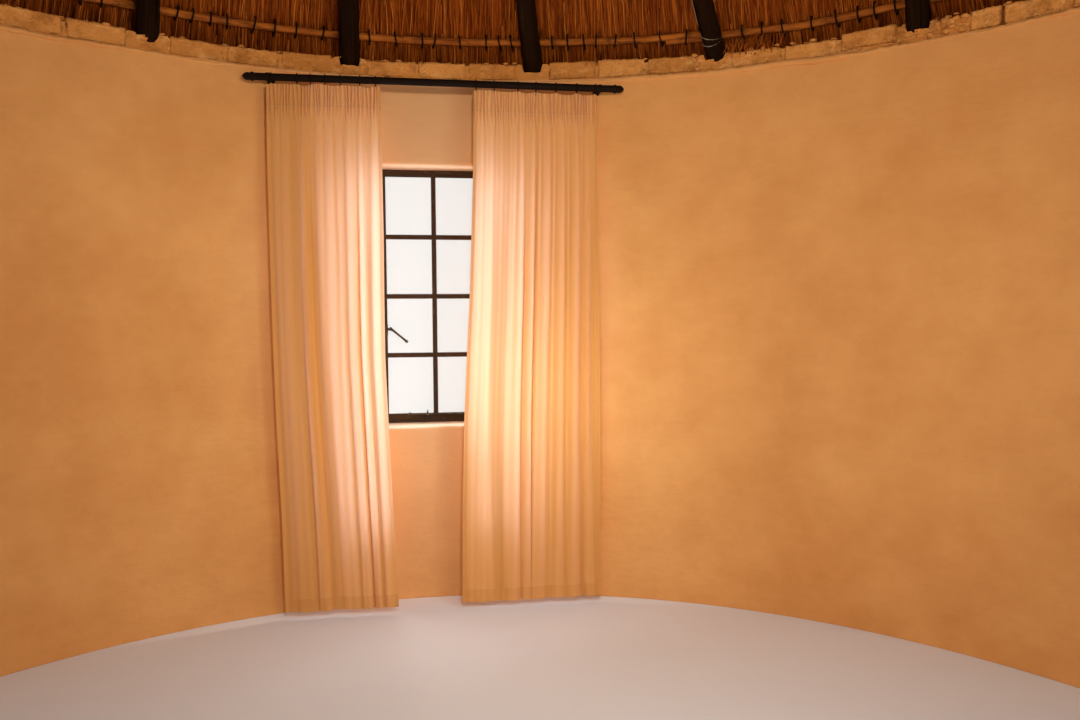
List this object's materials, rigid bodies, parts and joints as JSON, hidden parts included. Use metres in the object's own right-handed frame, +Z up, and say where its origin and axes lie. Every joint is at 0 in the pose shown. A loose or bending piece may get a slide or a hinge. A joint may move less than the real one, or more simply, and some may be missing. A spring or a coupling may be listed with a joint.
{
  "type": "rondavel window bay",
  "caption": "Curved wall bays of a round thatched hut with a steel casement window, bare brick course, pole rafters, reed thatch at the eaves, and curtains on a pole.",
  "frame": {"origin": "on the underside of the wall, at half its thickness, under the middle of the window", "axes": "+Y out through the window, +X to the right as seen from inside, +Z up"},
  "size_m": [5.5914, 2.6467, 3.7891],
  "materials": {
    "plaster": "hand-floated, matt cream limewash",
    "limewashed_brick": "rough, brushed with limewash",
    "dark_pole": "smoked and stained round pole",
    "lath_pole": "peeled thin pole",
    "thatch": "dry reed, stems running up the slope",
    "painted_steel": "dark satin paint",
    "glass": "clear",
    "fittings": "worn dark metal",
    "black_iron": "black satin",
    "linen": "unlined open-weave linen"
  },
  "bodies": {
    "root": {"wall_bay_1": "plaster", "wall_bay_2": "plaster", "wall_left_of_window": "plaster", "wall_below_window": "plaster", "wall_above_window": "plaster", "wall_right_of_window": "plaster", "wall_bay_4": "plaster", "wall_bay_5": "plaster", "wall_bay_6": "plaster", "outer_sill": "plaster", "brick_course_1": "limewashed_brick", "brick_course_2": "limewashed_brick", "brick_course_3": "limewashed_brick", "brick_course_4": "limewashed_brick", "brick_course_5": "limewashed_brick", "brick_course_6": "limewashed_brick", "rafter_1": "dark_pole", "rafter_2": "dark_pole", "rafter_3": "dark_pole", "rafter_4": "dark_pole", "rafter_5": "dark_pole", "rafter_6": "dark_pole", "rafter_7": "dark_pole", "lath_1": "lath_pole", "lath_2": "lath_pole", "lath_3": "lath_pole", "lath_4": "lath_pole", "lath_5": "lath_pole", "lath_6": "lath_pole", "thatch_1": "thatch", "thatch_2": "thatch", "thatch_3": "thatch", "thatch_4": "thatch", "thatch_5": "thatch", "thatch_6": "thatch", "window_frame": "painted_steel", "casement_leaf": "painted_steel", "window_glass": "glass", "casement_handle": "fittings", "casement_stay": "fittings", "casement_hinges": "fittings", "curtain_pole": "black_iron", "pole_knobs": "black_iron", "pole_brackets": "black_iron", "curtain_rings": "black_iron", "curtain_left": "linen", "curtain_right": "linen"}
  },
  "joints": []
}
